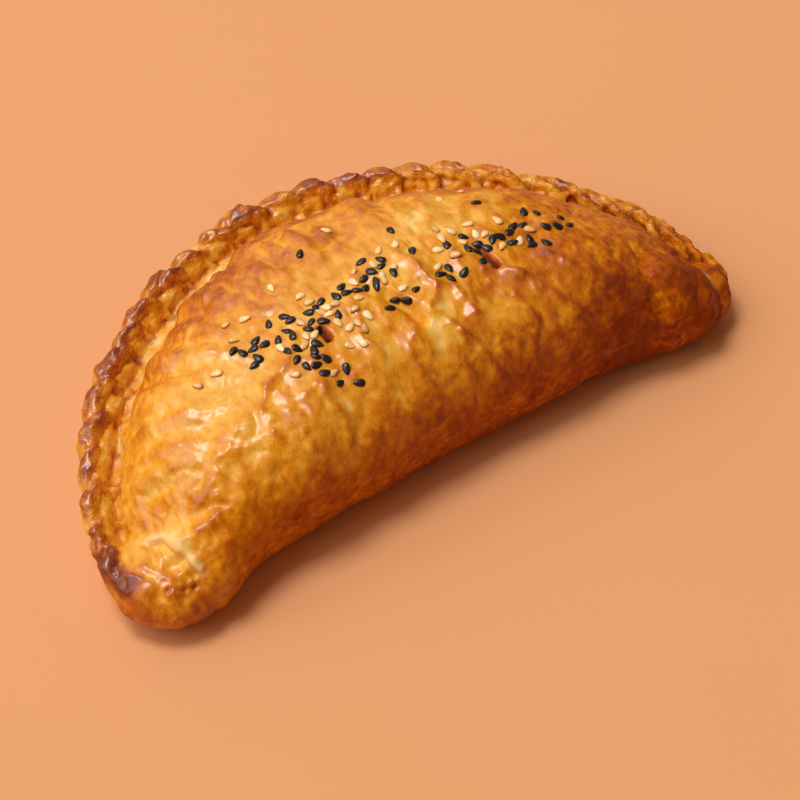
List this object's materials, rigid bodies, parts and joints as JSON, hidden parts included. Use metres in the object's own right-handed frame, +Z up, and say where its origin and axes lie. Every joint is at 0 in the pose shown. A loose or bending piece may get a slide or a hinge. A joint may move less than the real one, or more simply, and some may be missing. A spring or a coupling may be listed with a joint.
{
  "type": "cornish pasty",
  "caption": "Half-round baked pasty: a domed, egg-washed pastry case folded over its filling, with a twisted crimp along the curved edge, three slashed vents and a scatter of sesame.",
  "frame": {"origin": "on the surface it rests on, under the middle of the pasty's outline", "axes": "+X along the folded edge towards the end with the tucked crimp, +Y from the fold towards the crimp, +Z up"},
  "size_m": [0.202, 0.1039, 0.0428],
  "materials": {
    "crust": "satin",
    "black_sesame": "satin",
    "white_sesame": "satin"
  },
  "bodies": {
    "root": {"pasty": "crust"}
  },
  "joints": []
}
